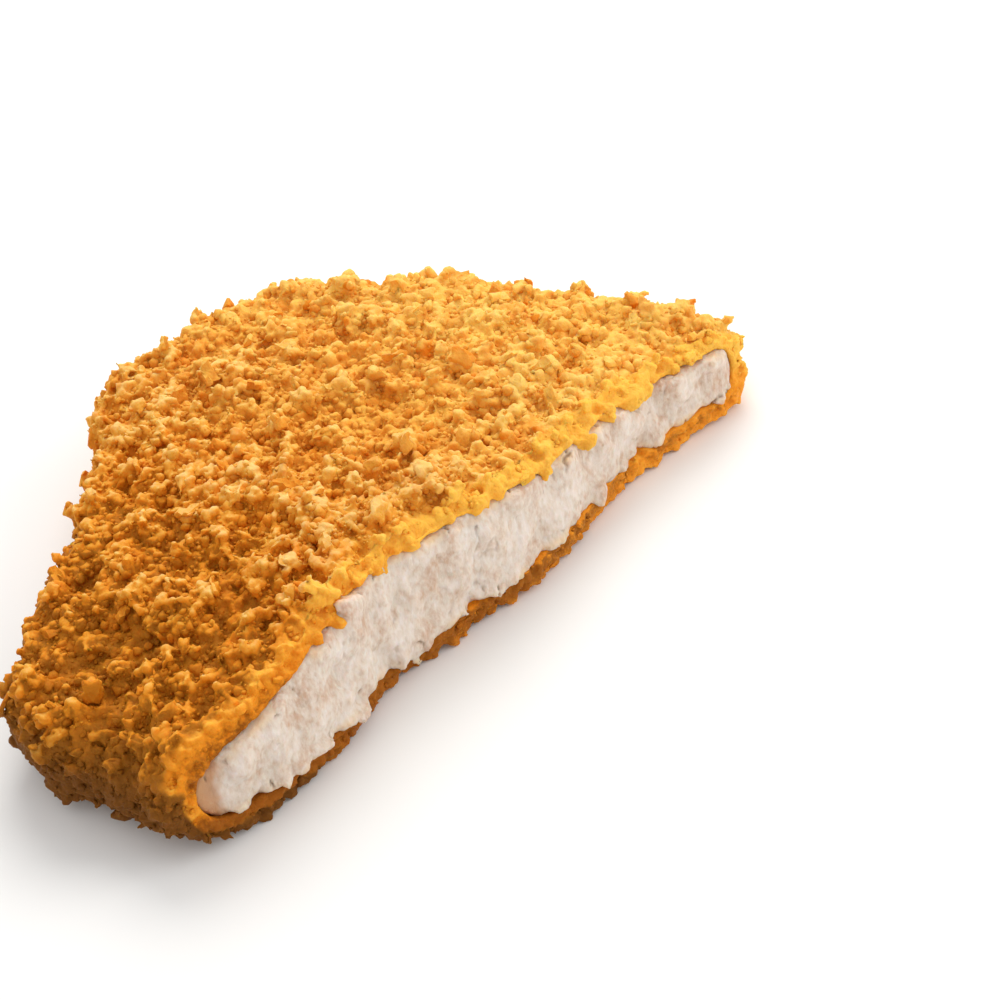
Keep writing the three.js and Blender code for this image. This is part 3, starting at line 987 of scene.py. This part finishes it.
class SCHNITZEL_OT_meat(bpy.types.Operator):
    """The white meat, torn into clumps and fibres where it was cut, with shreds along its lower edge."""

    bl_idname = "schnitzel.meat"
    bl_label = "Meat"

    def execute(self, context):
        sizes = context.scene.schnitzel_meat
        meat = copy_of_solid("meat", "meat_filling")
        finish_modifier(meat, "REMESH", mode="VOXEL", voxel_size=sizes.voxel)
        smooth(meat, 2)
        finish_modifier(meat, "DISPLACE", strength=0.35 * MM, mid_level=0.0)
        finish_modifier(meat, "NODES", node_group=rim_tree())
        shreds = scattered(
            "shreds", ["meat_filling"], [shape_shred(600 + k, faces=120) for k in range(6)],
            spacing=1.5 * MM, radius=0.8 * MM, spread=0.35, tilt=0.5, seed=83, room=SHRED)
        fingers = [
            hang_shred(700 + k, *(value * MM for value in place), lean)
            for k, (*place, lean) in enumerate(FINGERS)]
        meat = fused([meat, shreds] + fingers, sizes.voxel)
        smooth(meat, 1)
        pick_faces(meat, lambda face: face.center.y < cut_line(face.center.x) + FINE_STRIP)
        with edit_mode():
            bpy.ops.mesh.subdivide(number_cuts=1, smoothness=0)
        finish_modifier(meat, "NODES", node_group=torn_tree(sizes.clump_depth, sizes.fibre_depth))
        meat.data.materials.append(cooked_meat("cooked_white_meat"))
        bpy.ops.object.shade_smooth()
        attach(meat, "root")
        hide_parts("meat")
        return {"FINISHED"}


# ---------- the crust in two pieces

class SCHNITZEL_OT_halves(bpy.types.Operator):
    """Parts the crust into a browner half and a paler half that meet edge to edge, so that each keeps
    its finest crumbs. The browner half is partly fried browner and partly painted shade, and the paler
    half is partly painted light. They take the place of the solid coating, and nothing can be measured
    from that afterwards, so this comes after the meat."""

    bl_idname = "schnitzel.halves"
    bl_label = "Crust halves"

    def execute(self, context):
        crust = bpy.data.objects["fried_crust"]
        mesh = crust.data
        # The halves keep the whole crust's shading where they meet.
        mesh.normals_split_custom_set_from_vertices([vertex.normal for vertex in mesh.vertices])
        reach = sorted(face.center.dot(PARTING) for face in mesh.polygons)
        middle = reach[len(reach) // 2]
        pick_faces(crust, lambda face: face.center.dot(PARTING) > middle)
        with edit_mode():
            bpy.ops.mesh.separate(type="SELECTED")
        pale = next(obj for obj in context.selected_objects if obj != crust)
        crust.name, pale.name = "crust_browned_half", "crust_pale_half"
        for half in (crust, pale):
            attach(half, "root")
            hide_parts("crumb_coating")
        return {"FINISHED"}


# ---------- stage

CAMERA = {
    "azimuth": -40.97, "elevation": 40.0, "roll": -11.0, "distance": 308.41 * MM,
    "across": 1.0 * MM, "up": 12.62 * MM, "lens": 100.0, "sensor": 36.0,
}
LIGHTS = {
    "key_light": {
        "azimuth": 125, "elevation": 50, "distance": 0.5, "size": 0.35, "power": 1.3,
        "tint": (1.0, 0.98, 0.95)},
    "cut_fill": {
        "azimuth": 42, "elevation": 30, "distance": 1.0, "size": 0.7, "power": 2.6,
        "tint": (1.0, 1.0, 1.0)},
}
FLOOR = {"size": 6, "colour": "F6F5F3", "roughness": 0.9}
SKY_STRENGTH = 0.8


def camera_axes(azimuth, elevation, roll):
    """Right, up and back of a camera that looks along its azimuth and down by its elevation."""
    a, e, r = (math.radians(angle) for angle in (azimuth, elevation, roll))
    back = Vector((math.sin(a) * math.cos(e), -math.cos(a) * math.cos(e), math.sin(e)))
    level = Vector((math.cos(a), math.sin(a), 0))
    rise = back.cross(level)
    right = level * math.cos(r) + rise * math.sin(r)
    return right, back.cross(right), back


def axes_matrix(right, rise, back, place):
    matrix = Matrix((right, rise, back)).transposed().to_4x4()
    matrix.translation = place
    return matrix


def add_area_light(name, azimuth, elevation, distance, size, power, tint):
    _, _, back = camera_axes(azimuth, elevation, 0)
    data = bpy.data.lights.new(name, "AREA")
    data.shape = "DISK"
    data.size = size
    data.energy = power
    data.color = tint
    light = bpy.data.objects.new(name, data)
    light.location = back * distance
    light.rotation_euler = back.to_track_quat("Z", "Y").to_euler()
    bpy.context.scene.collection.objects.link(light)


class SCHNITZEL_OT_stage(bpy.types.Operator):
    """A pale floor, soft studio light and the camera."""

    bl_idname = "schnitzel.stage"
    bl_label = "Stage"

    def execute(self, context):
        scene = context.scene
        bpy.ops.mesh.primitive_plane_add(size=FLOOR["size"], location=(0, 0, 0))
        floor = context.object
        floor.name = "floor"
        material, tree = new_material("pale_paper_sweep")
        surfaced(tree, {"Base Color": colour(FLOOR["colour"]), "Roughness": FLOOR["roughness"]})
        floor.data.materials.append(material)

        world = bpy.data.worlds.new("studio")
        world.use_nodes = True
        background = world.node_tree.nodes["Background"]
        background.inputs["Color"].default_value = (1, 1, 1, 1)
        background.inputs["Strength"].default_value = SKY_STRENGTH
        scene.world = world
        for name, light in LIGHTS.items():
            add_area_light(name, **light)

        right, rise, back = camera_axes(CAMERA["azimuth"], CAMERA["elevation"], CAMERA["roll"])
        data = bpy.data.cameras.new("camera")
        data.lens = CAMERA["lens"]
        data.sensor_width = CAMERA["sensor"]
        camera = bpy.data.objects.new("camera", data)
        scene.collection.objects.link(camera)
        place = CUT_MIDDLE + right * CAMERA["across"] + rise * CAMERA["up"]
        camera.matrix_world = axes_matrix(right, rise, back, place + back * CAMERA["distance"])
        scene.camera = camera
        scene.view_settings.view_transform = "Standard"
        return {"FINISHED"}


# ---------- add-on

STEPS = (
    SCHNITZEL_OT_crust, SCHNITZEL_OT_crumbs, SCHNITZEL_OT_meat, SCHNITZEL_OT_halves, SCHNITZEL_OT_stage)
GROUPS = {
    "schnitzel_crumbs": CrumbSettings,
    "schnitzel_meat": MeatSettings,
    "schnitzel_finish": FinishSettings,
}


class SCHNITZEL_PT_panel(bpy.types.Panel):
    """Lists the pieces of the schnitzel."""

    bl_idname = "SCHNITZEL_PT_panel"
    bl_label = "Cut schnitzel"
    bl_space_type = "VIEW_3D"
    bl_region_type = "UI"
    bl_category = "Schnitzel"

    def draw(self, context):
        for step in STEPS:
            self.layout.operator(step.bl_idname)
        for name, group in GROUPS.items():
            box = self.layout.box()
            for key in group.__annotations__:
                box.prop(getattr(context.scene, name), key)


def register():
    for cls in (*GROUPS.values(), *STEPS, SCHNITZEL_PT_panel):
        bpy.utils.register_class(cls)
    for name, group in GROUPS.items():
        setattr(bpy.types.Scene, name, bpy.props.PointerProperty(type=group))


def unregister():
    for name in GROUPS:
        delattr(bpy.types.Scene, name)
    for cls in (SCHNITZEL_PT_panel, *reversed(STEPS), *reversed(tuple(GROUPS.values()))):
        bpy.utils.unregister_class(cls)


def main():
    register()
    bpy.ops.schnitzel.crust()
    bpy.ops.schnitzel.crumbs()
    bpy.ops.schnitzel.meat()
    bpy.ops.schnitzel.halves()
    bpy.ops.schnitzel.stage()


if __name__ == "__main__":
    main()
